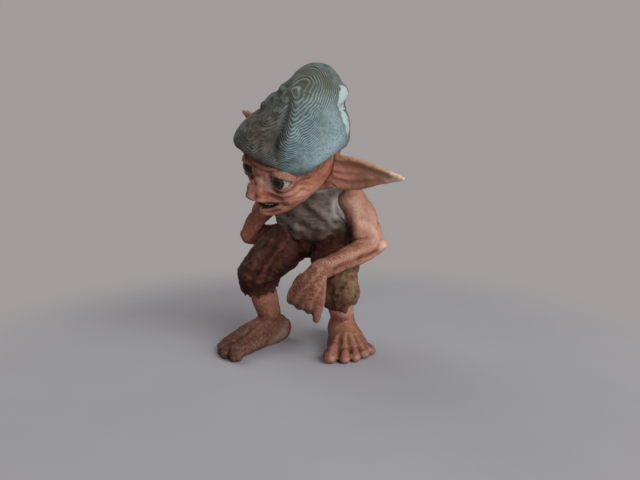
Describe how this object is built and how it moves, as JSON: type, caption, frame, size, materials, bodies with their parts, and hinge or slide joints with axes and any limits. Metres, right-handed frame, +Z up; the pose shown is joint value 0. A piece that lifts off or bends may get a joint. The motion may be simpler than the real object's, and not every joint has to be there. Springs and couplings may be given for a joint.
{
  "type": "goblin figurine",
  "caption": "Crouching goblin figurine in a tall soft cap, sleeveless vest and ragged shorts, with long pointed ears, a hanging hand and big bare feet.",
  "frame": {"origin": "on the ground, at the middle of the figurine's box in plan", "axes": "+Z up, -Y towards the front that the goblin faces, +X to the goblin's left"},
  "size_m": [0.0616, 0.042, 0.0854],
  "materials": {
    "skin": "hand painted, dry brushed over a darker wash",
    "cap": "matte pale blue-green paint over layer lines",
    "vest": "matte grey-taupe paint, brushed",
    "shorts": "matte dark brown paint, patchy",
    "eye": "gloss paint, dark with a pale white",
    "dowel": "plain turned wood, hidden by the glued joints"
  },
  "bodies": {
    "root": {"head": "skin", "cap": "cap", "left_ear": "skin", "right_ear": "skin", "left_eye": "eye", "right_eye": "eye", "vest": "vest", "shorts": "shorts", "left_arm": "skin", "right_arm": "skin", "left_leg": "skin", "right_leg": "skin", "neck_dowel": "dowel", "waist_dowel": "dowel", "cap_dowel": "dowel", "ear_dowels": "dowel", "shoulder_dowels": "dowel", "shin_dowels": "dowel"}
  },
  "joints": []
}
